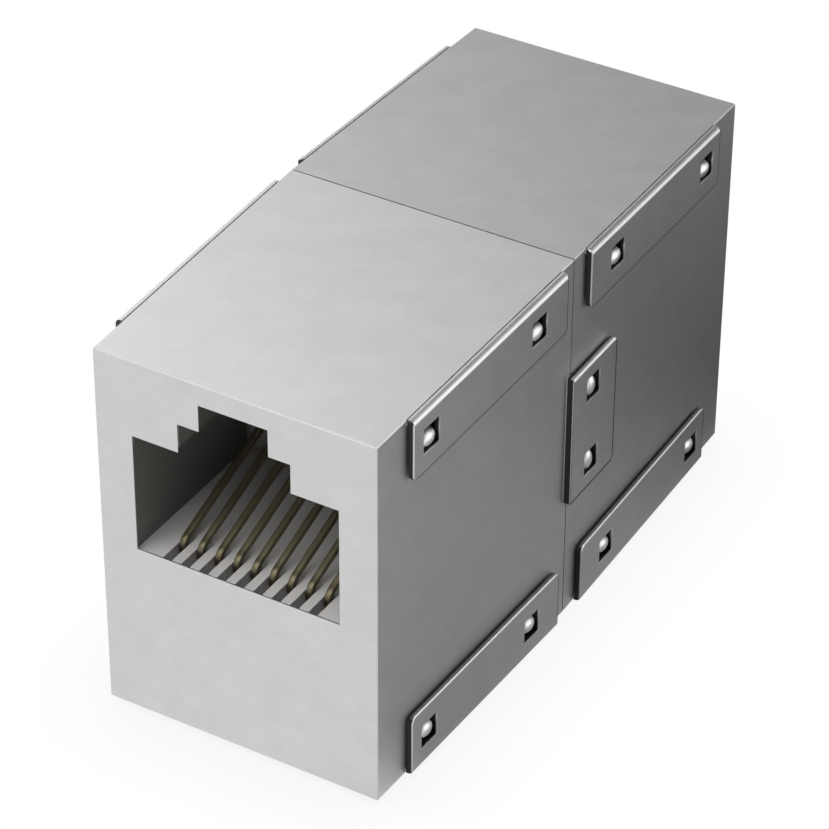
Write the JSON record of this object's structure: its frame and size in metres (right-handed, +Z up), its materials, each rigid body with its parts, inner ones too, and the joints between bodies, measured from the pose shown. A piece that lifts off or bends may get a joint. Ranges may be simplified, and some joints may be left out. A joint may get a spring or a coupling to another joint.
{
  "type": "inline network coupler",
  "caption": "Shielded inline coupler: two modular plug sockets back to back in folded sheet-metal shells, each with a row of spring contacts, joined inside by a small circuit board.",
  "frame": {"origin": "centre of the bounding box's bottom face: on the length's middle plane, at the level of the lowest point, which is the seam between the two halves", "axes": "+Y runs along the coupler from the front socket to the rear socket, +X is across the width, +Z is up, the side of the latch notches"},
  "size_m": [0.0176, 0.037, 0.0223],
  "materials": {
    "shield": "satin nickel plated sheet",
    "housing": "moulded, fine matt",
    "contact_block": "moulded, fine matt",
    "contact": "thin gold plate",
    "circuit_board": "solder mask"
  },
  "bodies": {
    "root": {"front_shield": "shield", "rear_shield": "shield", "front_housing": "housing", "rear_housing": "housing", "front_contact_block": "contact_block", "rear_contact_block": "contact_block", "circuit_board": "circuit_board", "front_contact_1": "contact", "front_contact_2": "contact", "front_contact_3": "contact", "front_contact_4": "contact", "front_contact_5": "contact", "front_contact_6": "contact", "front_contact_7": "contact", "front_contact_8": "contact", "front_contact_9": "contact", "rear_contact_1": "contact", "rear_contact_2": "contact", "rear_contact_3": "contact", "rear_contact_4": "contact", "rear_contact_5": "contact", "rear_contact_6": "contact", "rear_contact_7": "contact", "rear_contact_8": "contact", "rear_contact_9": "contact"}
  },
  "joints": []
}
